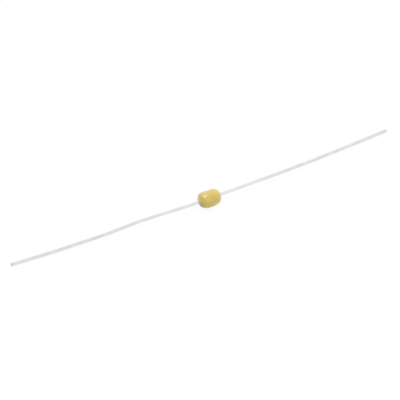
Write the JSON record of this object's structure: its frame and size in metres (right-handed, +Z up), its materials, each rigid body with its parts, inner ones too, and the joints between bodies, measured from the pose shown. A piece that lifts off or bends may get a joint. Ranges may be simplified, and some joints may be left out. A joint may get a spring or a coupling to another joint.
{
  "type": "axial multilayer ceramic capacitor",
  "caption": "Axial multilayer ceramic capacitor: a small golden epoxy bead dipped over a layered ceramic chip, with long tinned wire leads for soldering into a circuit board.",
  "frame": {"origin": "on the underside of the epoxy coat, below the middle of the chip, on the surface that the part lies on", "axes": "+X along the body's axis towards the right lead, +Y towards the side that the leads sweep to, +Z up"},
  "size_m": [0.0623, 0.0035, 0.0025],
  "materials": {
    "epoxy": "glossy dipped epoxy, golden tan",
    "ceramic": "matte fired ceramic",
    "cap_metal": "fired metal end cap",
    "solder": "bright reflowed solder",
    "tinned_wire": "satin tinned copper-clad steel",
    "electrode_metal": "thin fired metal film"
  },
  "bodies": {
    "root": {"epoxy_coat": "epoxy", "ceramic_chip": "ceramic", "termination_left": "cap_metal", "termination_right": "cap_metal", "solder_left": "solder", "solder_right": "solder", "lead_left": "tinned_wire", "lead_right": "tinned_wire", "electrode_left_1": "electrode_metal", "electrode_left_2": "electrode_metal", "electrode_left_3": "electrode_metal", "electrode_left_4": "electrode_metal", "electrode_left_5": "electrode_metal", "electrode_left_6": "electrode_metal", "electrode_left_7": "electrode_metal", "electrode_left_8": "electrode_metal", "electrode_right_1": "electrode_metal", "electrode_right_2": "electrode_metal", "electrode_right_3": "electrode_metal", "electrode_right_4": "electrode_metal", "electrode_right_5": "electrode_metal", "electrode_right_6": "electrode_metal", "electrode_right_7": "electrode_metal", "electrode_right_8": "electrode_metal"}
  },
  "joints": []
}
